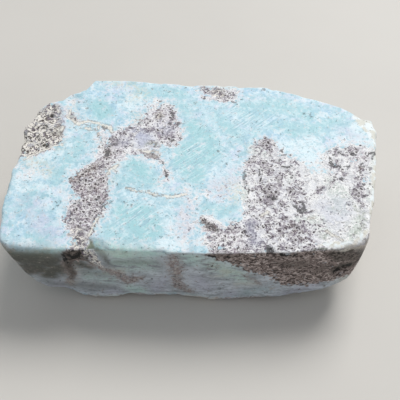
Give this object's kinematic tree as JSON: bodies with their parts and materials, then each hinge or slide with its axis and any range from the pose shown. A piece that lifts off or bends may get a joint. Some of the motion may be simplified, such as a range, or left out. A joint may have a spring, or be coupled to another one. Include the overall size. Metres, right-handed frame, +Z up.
{
  "type": "rough larimar chunk",
  "caption": "Rough larimar chunk: pale blue stone with brown-speckled veins, sawn flat on top, ground flat in front and broken on its other sides.",
  "frame": {"origin": "middle of the stone's bounding box, at the level it rests on", "axes": "+X along the stone's length, towards its right end as seen from the ground front; +Y towards the broken back; +Z up, out of the sawn top"},
  "size_m": [0.101, 0.0636, 0.022],
  "materials": {
    "larimar": "sawn and unpolished, with a dull waxy sheen"
  },
  "bodies": {
    "root": {"larimar_chunk": "larimar"}
  },
  "joints": []
}
